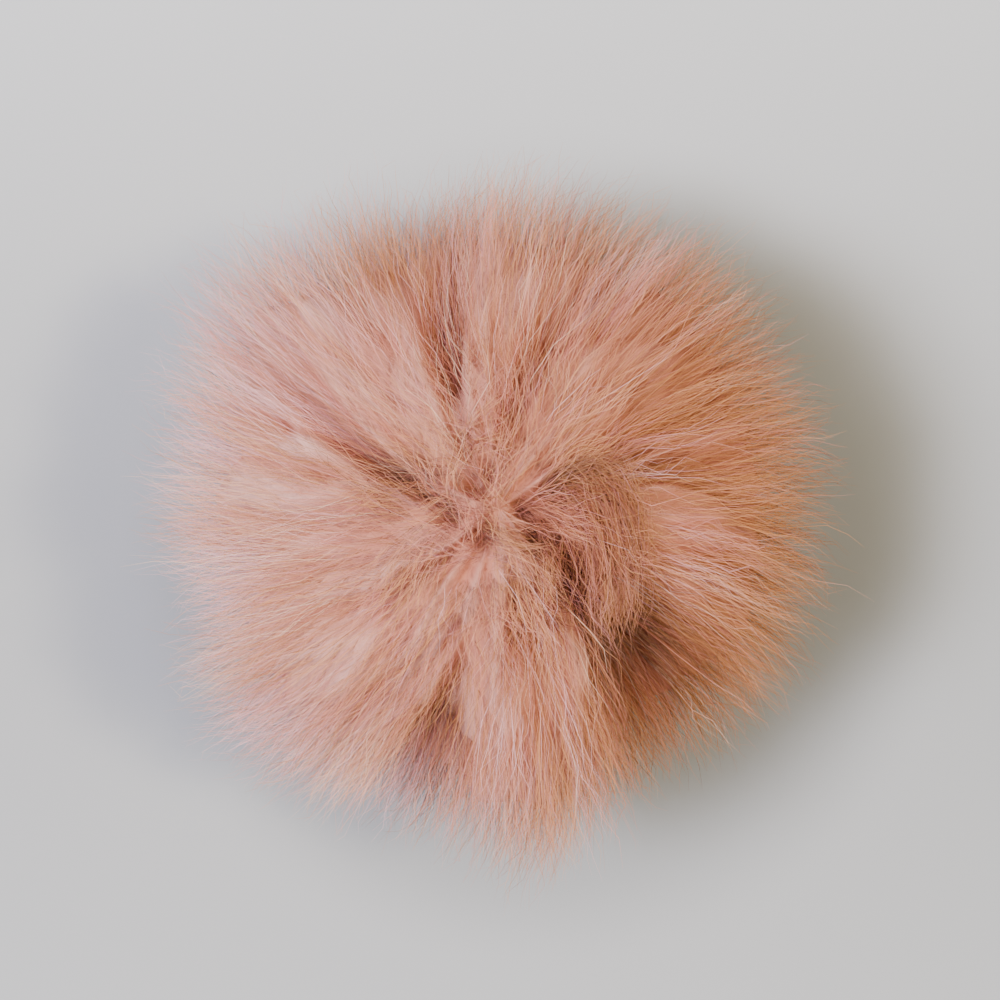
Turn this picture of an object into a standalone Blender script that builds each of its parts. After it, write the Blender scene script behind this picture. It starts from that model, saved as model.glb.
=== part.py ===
"""A pompom of long-pile fur cloth, resting on a table with its pile parted at the crown.

The cloth is gathered into a small ball, the backing, and its pile stands on it in locks. Each lock
is narrow at its root, swells where the pile fans out, and draws in to a tip. Above, the locks lean
away from the crown. Below, they are shorter, splay outwards and end level on the table.

Metres and degrees, +Z up, +X to the right and +Y to the back. The origin is on the table, under the
middle of the ball. An azimuth is the angle seen from above, from +X towards +Y.
"""

import math
import random
from collections import namedtuple

import bmesh
import bpy
from mathutils import Quaternion, Vector

# The backing
BACKING_RADIUS = 0.0155
CENTRE = Vector((0, 0, 0.047))
CROWN = Vector((0.01, 0.07, 1)).normalized()  # the pile parts here, a little behind the top
DOWN = Vector((0, 0, -1))

# The locks and how closely they stand
LOCK_COUNT = 280
TOP_GAP = 4.5  # from the top to the first lock
FOOT_GAP = 13.0  # from the lowest lock, which points straight down, to the next ones
CROWDING = 0.4  # how much closer the locks stand at the top than at the foot
SEED = 11

# How the pile lies: how far a lock's tip leans from the direction of its root
CROWN_LEAN = 46.0
CROWN_REACH = 24.0  # the lean sets in over this angle from the crown
FOOT_SPLAY = 13.0
TWIST = 5.0  # how far the tips turn clockwise about the ball, seen from above
LEAN_GROWTH = 1.35  # over 1, a lock stands up at its root and bends further on

# A lock's own shape
Section = namedtuple("Section", "along fill")  # shares of its length, and of its room there
SECTIONS = (
    Section(0.26, 0.84),
    Section(0.56, 0.86),
    Section(0.81, 0.62),
)
ROOT_FILL = 0.7
MOST_HALF_WIDTH = 0.0052
FOOT_HALF_WIDTH = 0.0015  # of the level end of a lock that stands on the table
SHORTEST, LONGEST = 0.98, 1.08  # how unevenly long the locks are, in shares of the pile's reach

# How far the pile reaches from the ball's centre, at the top and round the side
TOP_REACH = 0.0490
Side = namedtuple("Side", "azimuth reach")
OUTLINE = (
    Side(0, 0.0630),
    Side(28, 0.0636),
    Side(47, 0.0670),
    Side(68, 0.0650),
    Side(90, 0.0662),
    Side(105, 0.0636),
    Side(125, 0.0712),
    Side(140, 0.0745),
    Side(157, 0.0650),
    Side(180, 0.0650),
    Side(193, 0.0590),
    Side(208, 0.0660),
    Side(225, 0.0660),
    Side(242, 0.0610),
    Side(262, 0.0610),
    Side(278, 0.0687),
    Side(291, 0.0590),
    Side(318, 0.0620),
    Side(335, 0.0612),
)

# Where the pile parts below the crown: the locks stand aside of the parting and are shorter. Its
# azimuth is the one at off_crown, its deepest place, and swings by this much for each degree
# further off the crown.
Parting = namedtuple("Parting", "azimuth half_width push shortfall off_crown half_length swing")
PARTINGS = (
    Parting(110, 6.0, 5.0, 0.14, 46, 24, 0.0),
    Parting(152, 7.0, 6.0, 0.18, 40, 24, -0.3),
    Parting(254, 9.0, 7.0, 0.24, 66, 24, 0.0),
    Parting(317, 14.0, 9.0, 0.26, 56, 28, -0.4),
    Parting(20, 7.0, 6.0, 0.13, 46, 22, -0.5),
    Parting(73, 6.0, 4.0, 0.10, 52, 26, -0.35),
    Parting(230, 6.0, 3.0, 0.06, 54, 26, -0.4),
)

EVEN_SPACING = 3.2 / math.sqrt(LOCK_COUNT)  # radians between neighbours that are evenly spread
STEP = 0.02  # radians, or share of a lock, over which a change is measured


def azimuth_of(direction):
    return math.degrees(math.atan2(direction.y, direction.x)) % 360


def bell(value):
    return math.exp(-value * value)


def reach_at_side(azimuth):
    """The outline's reach, eased between the rows of OUTLINE."""
    around = (*OUTLINE, Side(OUTLINE[0].azimuth + 360, OUTLINE[0].reach))
    for low, high in zip(around, around[1:]):
        if azimuth <= high.azimuth:
            share = (azimuth - low.azimuth) / (high.azimuth - low.azimuth)
            eased = share * share * (3 - 2 * share)
            return low.reach + (high.reach - low.reach) * eased


def leaned(direction, axis, degrees):
    """The direction turned away from the axis, in the plane that holds both."""
    side = axis.cross(direction)
    if side.length < STEP**3:
        return direction.copy()
    return Quaternion(side, math.radians(degrees)) @ direction


def combed(direction, share):
    """Where pile rooted at this direction points, a share of the way along it, but for partings."""
    off_crown = math.degrees(direction.angle(CROWN))
    lean = CROWN_LEAN * (1 - off_crown / 180) ** 2 * (1 - math.exp(-off_crown / CROWN_REACH))
    lowness = max(0.0, direction.dot(DOWN)) ** 2
    splay = FOOT_SPLAY * 4 * lowness * (1 - lowness)
    bend = share**LEAN_GROWTH
    lying = leaned(leaned(direction, CROWN, lean * bend), DOWN, splay * bend)
    return Quaternion(DOWN, math.radians(TWIST * bend)) @ lying


def nearness(direction, parting):
    """How far aside of the parting this is, in its half widths, and how near its deepest stretch."""
    along = math.degrees(direction.angle(CROWN)) - parting.off_crown
    middle = parting.azimuth + parting.swing * along
    aside = (azimuth_of(direction) - middle + 180) % 360 - 180
    return aside / parting.half_width, bell(along / parting.half_length)


def laid(direction, share):
    """Where pile rooted at this direction points, a share of the way along it."""
    lying = combed(direction, share)
    turn = 0
    for parting in PARTINGS:
        aside, near = nearness(lying, parting)
        turn += parting.push * aside * bell(aside) * near * share**LEAN_GROWTH
    return Quaternion(-DOWN, math.radians(turn)) @ lying


def shortfall(direction):
    """The share by which the partings shorten a lock rooted at this direction."""
    most = 0
    for parting in PARTINGS:
        aside, near = nearness(combed(direction, 1), parting)
        most = max(most, parting.shortfall * bell(aside) * near)
    return most


def root_directions():
    """Directions in a spiral from the top down, closer together there, and one straight down."""
    turn = math.pi * (3 - math.sqrt(5))
    top = math.cos(math.radians(TOP_GAP))
    bottom = -math.cos(math.radians(FOOT_GAP))
    for number in range(LOCK_COUNT - 1):
        share = number / (LOCK_COUNT - 2)
        height = top + (bottom - top) * share * (1 - CROWDING * (1 - share))
        flat = math.sqrt(1 - height * height)
        yield Vector((flat * math.cos(number * turn), flat * math.sin(number * turn), height))
    yield DOWN.copy()


def spacing_at(direction):
    """The angle between neighbouring roots here, in radians."""
    lowness = (1 - direction.z) / 2
    return EVEN_SPACING * ((1 - CROWDING) ** 2 + 4 * CROWDING * lowness) ** 0.25


def spans_at(direction, share):
    """How the pile fans out: the ways to the neighbours aside of a lock and up the ball from it,
    a share of the way along, for each radian that their roots are apart."""
    aside = CROWN.cross(direction).normalized()
    spans = []
    for way in (aside, aside.cross(direction)):
        before = laid((direction - way * STEP).normalized(), share)
        after = laid((direction + way * STEP).normalized(), share)
        spans.append((after - before) / (2 * STEP))
    return spans


def length_of(direction, evenness):
    """The lock's length, and whether it ends on the table."""
    tip = laid(direction, 1)
    side = reach_at_side(azimuth_of(tip))
    reach = side + (TOP_REACH - side) * max(0.0, tip.z) ** 2
    reach *= evenness * (1 - shortfall(direction))
    to_table = CENTRE.z / -tip.z if tip.z < 0 else math.inf
    return min(reach, to_table) - BACKING_RADIUS, to_table <= reach


def middle_at(direction, length, share):
    """The middle of a lock, a share of the way from its root to its tip."""
    return CENTRE + laid(direction, share) * (BACKING_RADIUS + length * share)


def section_corners(direction, length, section):
    """A lock's corners at a section: two at its sides and two at its ridges."""
    middle = middle_at(direction, length, section.along)
    further = middle_at(direction, length, section.along + STEP)
    aside, up = spans_at(direction, section.along)
    side = aside.normalized()
    ridge = (further - middle).cross(side).normalized()
    room = spacing_at(direction) / 2 * (middle - CENTRE).length * section.fill
    half_width = min(room * aside.length, MOST_HALF_WIDTH)
    half_height = min(room * abs(ridge.dot(up)), half_width)
    across = side * half_width
    over = ridge * half_height
    return [middle + across, middle + over, middle - across, middle - over]


def root_corners(direction):
    """A lock's corners on the backing."""
    aside, up = (span.normalized() for span in spans_at(direction, 0))
    spread = spacing_at(direction) / 2 * ROOT_FILL
    corners = []
    for offset in (aside, up, -aside, -up):
        corners.append(CENTRE + (direction + offset * spread).normalized() * BACKING_RADIUS)
    return corners


def foot_corners(direction, length):
    """The corners of the level end of a lock that stands on the table."""
    tip = middle_at(direction, length, 1)
    middle = Vector((tip.x, tip.y, 0))
    aside = spans_at(direction, 1)[0]
    side = Vector((aside.x, aside.y, 0)).normalized() * FOOT_HALF_WIDTH
    ahead = side.cross(DOWN)
    return [middle + side, middle + ahead, middle - side, middle - ahead]


def backing_with_roots(mesh, directions):
    """Builds the backing as the hull of all the root corners, and returns each lock's root facet."""
    owner = {}
    for number, direction in enumerate(directions):
        for corner in root_corners(direction):
            owner[mesh.verts.new(corner)] = number
    bmesh.ops.convex_hull(mesh, input=mesh.verts)
    halves = [[] for _ in directions]
    for face in mesh.faces:
        owners = {owner[vert] for vert in face.verts}
        if len(owners) == 1:
            halves[owners.pop()].append(face)
    return [bmesh.ops.dissolve_faces(mesh, faces=pair)["region"][0] for pair in halves]


def drawn_out(mesh, facet, corners):
    """Extrudes a lock's end facet to these corners, each vert to the one it faces."""
    end = bmesh.ops.extrude_discrete_faces(mesh, faces=[facet])["faces"][0]
    start = end.calc_center_median()
    middle = sum(corners, Vector()) / len(corners)
    moves = []
    for vert in end.verts:
        outward = vert.co - start
        moves.append(max(corners, key=lambda corner: (corner - middle).dot(outward)))
    for vert, corner in zip(end.verts, moves):
        vert.co = corner
    return end


def fur():
    material = bpy.data.materials.new("blush_fur")
    material.use_nodes = True
    shader = material.node_tree.nodes["Principled BSDF"]
    shader.inputs["Base Color"].default_value = (0.60, 0.32, 0.24, 1)
    shader.inputs["Roughness"].default_value = 0.75
    shader.inputs["Metallic"].default_value = 0.0
    return material


def build_pompom():
    mesh = bmesh.new()
    chance = random.Random(SEED)
    directions = list(root_directions())
    for direction, root in zip(directions, backing_with_roots(mesh, directions)):
        length, on_table = length_of(direction, chance.uniform(SHORTEST, LONGEST))
        end = root
        for section in SECTIONS:
            end = drawn_out(mesh, end, section_corners(direction, length, section))
        if on_table:
            drawn_out(mesh, end, foot_corners(direction, length))
        else:
            tip = bmesh.ops.poke(mesh, faces=[end])["verts"][0]
            tip.co = middle_at(direction, length, 1)
    data = bpy.data.meshes.new("pompom")
    mesh.to_mesh(data)
    mesh.free()
    data.materials.append(fur())
    data.shade_smooth()
    data.set_sharp_from_angle(angle=math.radians(40))
    bpy.context.scene.collection.objects.link(bpy.data.objects.new("pompom", data))


for leftover in list(bpy.data.objects):
    bpy.data.objects.remove(leftover)
build_pompom()
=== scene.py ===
import math
from collections import namedtuple
from functools import partial

import bmesh
import bpy
import numpy as np
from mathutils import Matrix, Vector


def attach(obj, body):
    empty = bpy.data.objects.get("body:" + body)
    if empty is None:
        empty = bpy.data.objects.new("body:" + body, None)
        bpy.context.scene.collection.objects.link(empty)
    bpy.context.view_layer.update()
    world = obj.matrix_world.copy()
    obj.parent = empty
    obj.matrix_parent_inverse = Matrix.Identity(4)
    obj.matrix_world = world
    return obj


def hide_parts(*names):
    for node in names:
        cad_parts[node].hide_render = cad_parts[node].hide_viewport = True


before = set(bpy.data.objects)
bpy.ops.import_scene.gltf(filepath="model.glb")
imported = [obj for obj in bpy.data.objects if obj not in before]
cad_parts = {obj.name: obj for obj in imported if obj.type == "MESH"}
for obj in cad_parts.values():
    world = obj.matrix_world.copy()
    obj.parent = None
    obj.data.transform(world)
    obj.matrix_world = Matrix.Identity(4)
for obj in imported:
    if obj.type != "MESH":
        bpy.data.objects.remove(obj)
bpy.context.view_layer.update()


# ---------------------------------------------------------------------------------------------
# The backing: a round of knitted fur cloth, drawn up by a thread round its edge into a small
# ball, so that its gathers run up to the crown. The pile is knitted into it and all but hides it.

BALL_RADIUS = 0.0150
BALL_MIDDLE = np.array([0.0, 0.0, 0.047])
CROWN = np.array([0.01, 0.07, 1.0]) / math.hypot(0.01, 0.07, 1.0)  # where the gathers meet
GATHERS = 22
GATHER_DEPTH = 0.0005
GATHER_FADE = 8  # the more, the nearer to the crown the gathers keep their depth
KNIT_SCALE = 900.0
KNIT_DEPTH = 0.0004
KNIT_STRENGTH = 0.6
CLOTH_DARK = (0.16, 0.05, 0.035)
CLOTH_PALE = (0.30, 0.11, 0.08)


def new_finish(name, roughness):
    """A new material, its node tree and its shader."""
    material = bpy.data.materials.new(name)
    material.use_nodes = True
    tree = material.node_tree
    shader = tree.nodes["Principled BSDF"]
    shader.inputs["Roughness"].default_value = roughness
    return material, tree, shader


def noise_at(tree, place, scale, detail):
    noise = tree.nodes.new("ShaderNodeTexNoise")
    noise.inputs["Scale"].default_value = scale
    noise.inputs["Detail"].default_value = detail
    tree.links.new(place, noise.inputs["Vector"])
    return noise.outputs


def coloured(tree, share, stops, blend="LINEAR"):
    """The colour at a share from 0 to 1, blended between stops that each give a place and a colour."""
    node = tree.nodes.new("ShaderNodeValToRGB")
    ramp = node.color_ramp
    ramp.interpolation = blend
    for end, (place, colour) in zip(ramp.elements, (stops[0], stops[-1])):
        end.position = place
        end.color = (*colour, 1)
    for place, colour in stops[1:-1]:
        ramp.elements.new(place).color = (*colour, 1)
    tree.links.new(share, node.inputs["Fac"])
    return node.outputs["Color"]


def roughen(tree, shader, height, strength, depth):
    bump = tree.nodes.new("ShaderNodeBump")
    bump.inputs["Strength"].default_value = strength
    bump.inputs["Distance"].default_value = depth
    tree.links.new(height, bump.inputs["Height"])
    tree.links.new(bump.outputs["Normal"], shader.inputs["Normal"])


def put_in_scene(name, data):
    piece = bpy.data.objects.new(name, data)
    bpy.context.scene.collection.objects.link(piece)
    return piece


def knitted_cloth():
    material, tree, shader = new_finish("knitted_backing", roughness=0.9)
    place = tree.nodes.new("ShaderNodeTexCoord").outputs["Object"]
    knit = noise_at(tree, place, KNIT_SCALE, detail=3.0)["Fac"]
    cloth = coloured(tree, knit, ((0.0, CLOTH_DARK), (1.0, CLOTH_PALE)))
    tree.links.new(cloth, shader.inputs["Base Color"])
    roughen(tree, shader, knit, KNIT_STRENGTH, KNIT_DEPTH)
    return material


def gathered_ball():
    mesh = bmesh.new()
    bmesh.ops.create_icosphere(mesh, subdivisions=4, radius=1)
    for vert in mesh.verts:
        way = np.array(vert.co)
        rise = float(way @ CROWN)
        turn = math.atan2(way[1], way[0])
        fold = GATHER_DEPTH * math.cos(GATHERS * turn) * max(0.0, rise) * (1 - rise**GATHER_FADE)
        vert.co = Vector(BALL_MIDDLE + way * (BALL_RADIUS + fold))
    data = bpy.data.meshes.new("backing")
    mesh.to_mesh(data)
    mesh.free()
    data.shade_smooth()
    data.materials.append(knitted_cloth())
    return put_in_scene("backing", data)


backing = gathered_ball()
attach(backing, "root")


# ---------------------------------------------------------------------------------------------
# The under-pile: dense short wool, knitted into the backing with the long hairs. It fills the
# pile below their ends in soft clumps that run the way the pile lies, and parts where it parts.

# How far the pile reaches from the middle of the ball, at the top and at each azimuth of the side
TOP_REACH = 0.0490
OUTLINE = (
    (0, 0.0630),
    (28, 0.0636),
    (47, 0.0670),
    (68, 0.0650),
    (90, 0.0662),
    (105, 0.0636),
    (125, 0.0712),
    (140, 0.0745),
    (157, 0.0650),
    (180, 0.0650),
    (193, 0.0590),
    (208, 0.0660),
    (225, 0.0660),
    (242, 0.0610),
    (262, 0.0610),
    (278, 0.0687),
    (291, 0.0590),
    (318, 0.0620),
    (335, 0.0612),
)

# Where the pile parts: it is shorter there and pushed aside. Angles are in degrees, and a
# parting's azimuth swings by this much for each degree further off the crown.
Parting = namedtuple("Parting", "azimuth half_width push shortfall off_crown half_length swing")
PARTINGS = (
    Parting(104, 5.0, 4.5, 0.19, 50, 28, -0.25),
    Parting(152, 5.5, 5.5, 0.25, 34, 24, -0.3),
    Parting(253, 8.0, 10.0, 0.12, 62, 22, 0.0),
    Parting(317, 15.5, 14.0, 0.52, 58, 25, -0.4),
    Parting(20, 6.5, 6.0, 0.16, 42, 22, -0.5),
    Parting(331, 10.0, 7.0, 0.16, 20, 12, -1.5),
    Parting(73, 6.0, 4.0, 0.12, 48, 26, -0.35),
    Parting(240, 6.0, 4.0, 0.08, 50, 26, -0.4),
)

# Where the cloth is drawn in between its gathers, so that the pile is shorter all round
Pit = namedtuple("Pit", "azimuth off_crown radius shortfall")
PITS = (
    Pit(185, 12.2, 3.2, 0.16),
    Pit(158, 20.5, 4.0, 0.14),
    Pit(132, 8.0, 2.6, 0.14),
    Pit(105, 8.8, 2.4, 0.12),
    Pit(358, 6.2, 2.6, 0.14),
    Pit(243, 7.6, 3.0, 0.12),
    Pit(329, 12.5, 3.4, 0.16),
    Pit(326, 18.0, 4.0, 0.20),
    Pit(320, 25.0, 4.5, 0.30),
    Pit(314, 32.0, 5.5, 0.45),
    Pit(316, 41.0, 7.0, 0.45),
    Pit(314, 64.0, 11.0, 0.40),
    Pit(253, 53.0, 3.0, 0.18),
    Pit(253, 60.0, 4.5, 0.32),
    Pit(254, 69.0, 6.5, 0.42),
    Pit(254, 79.0, 8.0, 0.30),
)
DEEPEST = 0.45  # the shortfall at which the painted shade of the partings and pits is darkest
TWIST = 5.0  # the pile turns clockwise about the crown, by this many degrees at the tips

# The dye's tone runs from 0, deep and golden, to 1, pale and pink
MIDDLE_TONE = 0.5
# Painted light: lower and golden at the right, in the window's shade, higher and paler at the left
SIDE_PAINTED_LIGHT = 0.40  # how much lower it is at the right, and higher at the left
EVEN_RIGHT = 0.7  # at 1 it would change evenly from the middle outwards, and at 0 only far out
EVEN_LEFT = 0.35
# Painted light: the tone is higher and paler at the back and the front
ENDS_PAINTED_LIGHT = 0.16  # how much higher it is at the back and front

# The share of the pile's reach that the wool fills, by degrees off the crown
WOOL_REACH = (
    (0, 0.84),
    (90, 0.78),
    (120, 0.72),
    (148, 0.72),
    (180, 0.88),
)
WOOL_FOOT = 0.95  # the share of the way down to the table at which the lowest wool ends
WOOL_SEED = 61
WOOL_TURNS = 340
WOOL_ROWS = 110
WOOL_MEAN_REACH = 0.055
Clumps = namedtuple("Clumps", "width length depth variety")  # depth is a share of the reach
CLUMPS = (
    Clumps(0.0090, 0.024, 0.024, 0.10),
    Clumps(0.0042, 0.015, 0.016, 0.10),
    Clumps(0.0021, 0.010, 0.010, 0.08),
)
WAVES = (2, 5, 11)  # how many times round the ball the rows of clumps rise and fall
WAVE_HEIGHT = 0.45  # in rows

WOOL_TONES = (
    (0.0, (0.55, 0.21, 0.092)),
    (0.5, (0.78, 0.33, 0.22)),
    (1.0, (0.95, 0.55, 0.46)),
)
# Painted shade: the wool is darker where its streaks sink in their bump
WOOL_GROOVE_PAINTED_SHADE = (
    (0.30, (0.86, 0.79, 0.79)),
    (0.70, (1.0, 1.0, 1.0)),
)
WOOL_PAINTED_SHADE = (0.33, 0.265, 0.275)  # painted shade: what its colour is multiplied by in the deepest partings
WOOL_STREAKS = ((120.0, 10.0), (400.0, 30.0))  # how fine they are across and along the lay
WOOL_SWERVE = 0.10
WOOL_SWERVE_SCALE = 260.0
WOOL_MOTTLE_SCALE = 2600.0
WOOL_BUMP = 0.5
WOOL_BUMP_DEPTH = 0.0005

CROWN_RIGHT = np.cross((0.0, 1.0, 0.0), CROWN)
CROWN_RIGHT /= np.linalg.norm(CROWN_RIGHT)
CROWN_BACK = np.cross(CROWN, CROWN_RIGHT)


def aside_of_crown(turns):
    """Ways square to the crown, turned this far about it from the right."""
    return np.cos(turns)[..., None] * CROWN_RIGHT + np.sin(turns)[..., None] * CROWN_BACK


def ways_about_crown(turns, offs):
    """Ways turned this far about the crown and this far off it."""
    return np.cos(offs)[..., None] * CROWN + np.sin(offs)[..., None] * aside_of_crown(turns)


def azimuth_of(ways):
    return np.degrees(np.arctan2(ways[:, 1], ways[:, 0])) % 360


def angle_off(ways, axis):
    return np.degrees(np.arccos(np.clip(ways @ axis, -1, 1)))


def bell(values):
    return np.exp(-values * values)


def beside_partings(ways):
    """For each parting: how far aside of it the ways are, in its half widths, and how near its
    deepest stretch."""
    off = angle_off(ways, CROWN)
    for parting in PARTINGS:
        along = off - parting.off_crown
        middle = parting.azimuth + parting.swing * along
        aside = (azimuth_of(ways) - middle + 180) % 360 - 180
        yield parting, aside / parting.half_width, bell(along / parting.half_length)


def shortening(tips):
    """The share by which partings and pits shorten the pile whose tips point these ways."""
    most = np.zeros(len(tips))
    for parting, aside, near in beside_partings(tips):
        most = np.maximum(most, parting.shortfall * bell(aside**2) * near)
    for pit in PITS:
        middle = ways_about_crown(math.radians(pit.azimuth), math.radians(pit.off_crown))
        most = np.maximum(most, pit.shortfall * bell(angle_off(tips, middle) / pit.radius))
    return most


def reach_of(tips):
    azimuths, reaches = (np.array(column, float) for column in zip(*OUTLINE))
    side = np.interp(azimuth_of(tips), azimuths, reaches, period=360)
    reach = side + (TOP_REACH - side) * np.maximum(0.0, tips[:, 2]) ** 2
    return reach * (1 - shortening(tips))


def way_to_table(ways):
    """How far it is from the middle of the ball to the table, for ways that point down."""
    return BALL_MIDDLE[2] / np.maximum(-ways[..., 2], 1e-6)


def painted_shade_at(tips):
    """How deep in a parting or pit these tips end, from 0 to 1, which sets their painted shade."""
    return np.clip(shortening(tips) / DEEPEST, 0, 1)


def painted_light_on_tone(ways):
    """Painted light on the tone: lower at the right, in the window's shade, higher at left, back and
    front.
    """
    right, back = ways[..., 0], ways[..., 1]
    even = np.where(right > 0, EVEN_RIGHT, EVEN_LEFT)
    return ENDS_PAINTED_LIGHT * back**2 - SIDE_PAINTED_LIGHT * (even * right + (1 - even) * right**3)


def keep_values(data, name, values):
    """Stores a value at each point of the mesh, for its material or its nodes to read."""
    layer = data.attributes.new(name, "FLOAT", "POINT")
    layer.data.foreach_set("value", np.asarray(values, np.float32))


def clumps_over(off, turn, clump, chance):
    """A smooth unevenness over the ball, in clumps that run from the crown to the foot."""
    rows = int(math.pi * WOOL_MEAN_REACH / clump.length)
    place = off / math.pi * rows
    for count, start in zip(WAVES, chance.uniform(0, 2 * math.pi, len(WAVES))):
        place = place + WAVE_HEIGHT * np.sin(count * turn + start + off)
    total = np.zeros(off.shape)
    for row in range(-2, rows + 3):
        ring = abs(math.sin(math.pi * min(max(row, 0.4), rows - 0.4) / rows))
        count = max(5, int(2 * math.pi * WOOL_MEAN_REACH * ring / clump.width))
        knots = chance.normal(0, 1, count)
        around = (turn / (2 * math.pi) + chance.uniform()) % 1 * count
        cell = around.astype(int) % count
        share = around - np.floor(around)
        share = share * share * (3 - 2 * share)
        value = knots[cell] + (knots[(cell + 1) % count] - knots[cell]) * share
        near = np.clip(1 - np.abs(place - row), 0, 1)
        total += value * near * near * (3 - 2 * near)
    return total


def closed_net(points, name):
    """A closed mesh of a net of points in turns and rows, whose first and last rows are poles."""
    turns, rows = points.shape[0], points.shape[1] - 2
    here = np.arange(turns)
    after = (here + 1) % turns
    row = np.arange(rows - 1)
    corners = (
        here[:, None] * rows + row,
        here[:, None] * rows + row + 1,
        after[:, None] * rows + row + 1,
        after[:, None] * rows + row,
    )
    quads = np.stack(corners, -1).reshape(-1, 4)
    top, foot = np.full(turns, turns * rows), np.full(turns, turns * rows + 1)
    cap = np.stack([top, here * rows, after * rows], 1)
    base = np.stack([foot, after * rows + rows - 1, here * rows + rows - 1], 1)
    verts = np.vstack([points[:, 1:-1].reshape(-1, 3), points[0, 0], points[0, -1]])
    data = bpy.data.meshes.new(name)
    data.from_pydata(verts.tolist(), [], quads.tolist() + cap.tolist() + base.tolist())
    return data


def wool_mass():
    chance = np.random.default_rng(WOOL_SEED)
    off = np.linspace(0, math.pi, WOOL_ROWS)
    turn = np.linspace(0, 2 * math.pi, WOOL_TURNS, endpoint=False)[:, None]
    off_grid, turn_grid = np.broadcast_arrays(off, turn)
    ways = ways_about_crown(turn - np.radians(TWIST) * 2 * off / math.pi, off_grid)
    uneven = np.zeros(off_grid.shape)
    tone = MIDDLE_TONE + painted_light_on_tone(ways)
    for clump in CLUMPS:
        clumps = clumps_over(off_grid, turn_grid, clump, chance)
        uneven += clumps * clump.depth
        # tone differs by clump as dye, and as painted light and shade is paler on top, deeper in dips
        tone += clumps * clump.variety
    tips = ways.reshape(-1, 3)
    filled = np.interp(np.degrees(off), *zip(*WOOL_REACH))
    smooth_poles = np.clip(np.sin(off) * 4, 0, 1)  # no clumps at the very crown and foot
    reach = reach_of(tips) * (filled + uneven * smooth_poles).ravel()
    reach = np.where(tips[:, 2] < 0, np.minimum(reach, WOOL_FOOT * way_to_table(tips)), reach)
    data = closed_net(BALL_MIDDLE + ways * reach.reshape(*off_grid.shape, 1), "wool")
    # how deep in a parting each spot lies, for its painted shade
    depth = painted_shade_at(tips).reshape(tone.shape)
    for name, grid in (("tone", np.clip(tone, 0, 1)), ("depth", depth)):
        poles = [grid[:, 0].mean(), grid[:, -1].mean()]
        keep_values(data, name, np.concatenate([grid[:, 1:-1].ravel(), poles]))
    data.shade_smooth()
    return put_in_scene("wool", data)


def set_or_join(tree, socket, value):
    """Gives a node's socket this value, or joins another node's output to it."""
    if isinstance(value, bpy.types.NodeSocket):
        tree.links.new(value, socket)
    else:
        socket.default_value = value


def number_of(tree, operation, *values):
    node = tree.nodes.new("ShaderNodeMath")
    node.operation = operation
    for socket, value in zip(node.inputs, values):
        set_or_join(tree, socket, value)
    return node.outputs[0]


def vector_of(tree, operation, *values):
    node = tree.nodes.new("ShaderNodeVectorMath")
    node.operation = operation
    for socket, value in zip(node.inputs, values):
        set_or_join(tree, socket, value)
    return node.outputs["Value" if operation in ("DOT_PRODUCT", "DISTANCE") else "Vector"]


def scaled(tree, vector, factor):
    node = tree.nodes.new("ShaderNodeVectorMath")
    node.operation = "SCALE"
    set_or_join(tree, node.inputs[0], vector)
    set_or_join(tree, node.inputs["Scale"], factor)
    return node.outputs[0]


def multiplied(tree, colour, other, share=1.0):
    """A colour multiplied by another one, as far as the share says."""
    node = tree.nodes.new("ShaderNodeMix")
    node.data_type = "RGBA"
    node.blend_type = "MULTIPLY"
    for name, value in (("Factor", share), ("A", colour), ("B", other)):
        set_or_join(tree, node.inputs[name], value)
    return node.outputs["Result"]


def kept_value(tree, name):
    node = tree.nodes.new("ShaderNodeAttribute")
    node.attribute_name = name
    return node.outputs["Fac"]


def wool_finish():
    material, tree, shader = new_finish("blush_wool", roughness=0.9)
    shader.inputs["Specular IOR Level"].default_value = 0.0
    number, vector = partial(number_of, tree), partial(vector_of, tree)
    place = tree.nodes.new("ShaderNodeTexCoord").outputs["Object"]
    crown = tuple(CROWN)
    way = vector("NORMALIZE", vector("SUBTRACT", place, tuple(BALL_MIDDLE)))
    rise = vector("DOT_PRODUCT", way, crown)

    # streaks that run from the crown to the foot: fine across them and long along them, bumped,
    # and darker where they sink, as painted shade
    wander = noise_at(tree, place, WOOL_SWERVE_SCALE, detail=2.0)["Color"]
    swerve = scaled(tree, vector("SUBTRACT", wander, (0.5, 0.5, 0.5)), WOOL_SWERVE)
    level = vector("SUBTRACT", way, scaled(tree, crown, rise))
    ring = vector("NORMALIZE", vector("ADD", level, swerve))
    streaks = []
    for around, along in WOOL_STREAKS:
        down = scaled(tree, crown, number("MULTIPLY", rise, along))
        spot = vector("ADD", scaled(tree, ring, around), down)
        streaks.append(noise_at(tree, spot, 1.0, detail=3.0)["Fac"])
    mottle = noise_at(tree, place, WOOL_MOTTLE_SCALE, detail=2.0)["Fac"]
    uneven = number("ADD", number("ADD", *streaks), mottle)
    shade = coloured(tree, number("DIVIDE", uneven, 3.0), WOOL_GROOVE_PAINTED_SHADE)
    dye = coloured(tree, kept_value(tree, "tone"), WOOL_TONES)
    lit = multiplied(tree, dye, shade)
    # painted shade in the deep partings and pits
    colour = multiplied(tree, lit, (*WOOL_PAINTED_SHADE, 1), share=kept_value(tree, "depth"))
    tree.links.new(colour, shader.inputs["Base Color"])
    roughen(tree, shader, uneven, WOOL_BUMP, WOOL_BUMP_DEPTH)
    return material


wool = wool_mass()
wool.data.materials.append(wool_finish())
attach(wool, "root")


# ---------------------------------------------------------------------------------------------
# The long pile: dyed acrylic hairs, knitted into the backing and drawn up with it. They lean away
# from the crown, splay out under the ball, and gather in wisps, tufts and locks.

# How the hairs lie, in degrees
CROWN_LEAN = 48.0
CROWN_REACH = 20.0
FOOT_SPLAY = 13.0
LEAN_GROWTH = 1.4  # over 1, a hair stands up at its root and bends further on
RISE = 0.35  # how much sooner it reaches out than it bends over

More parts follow.
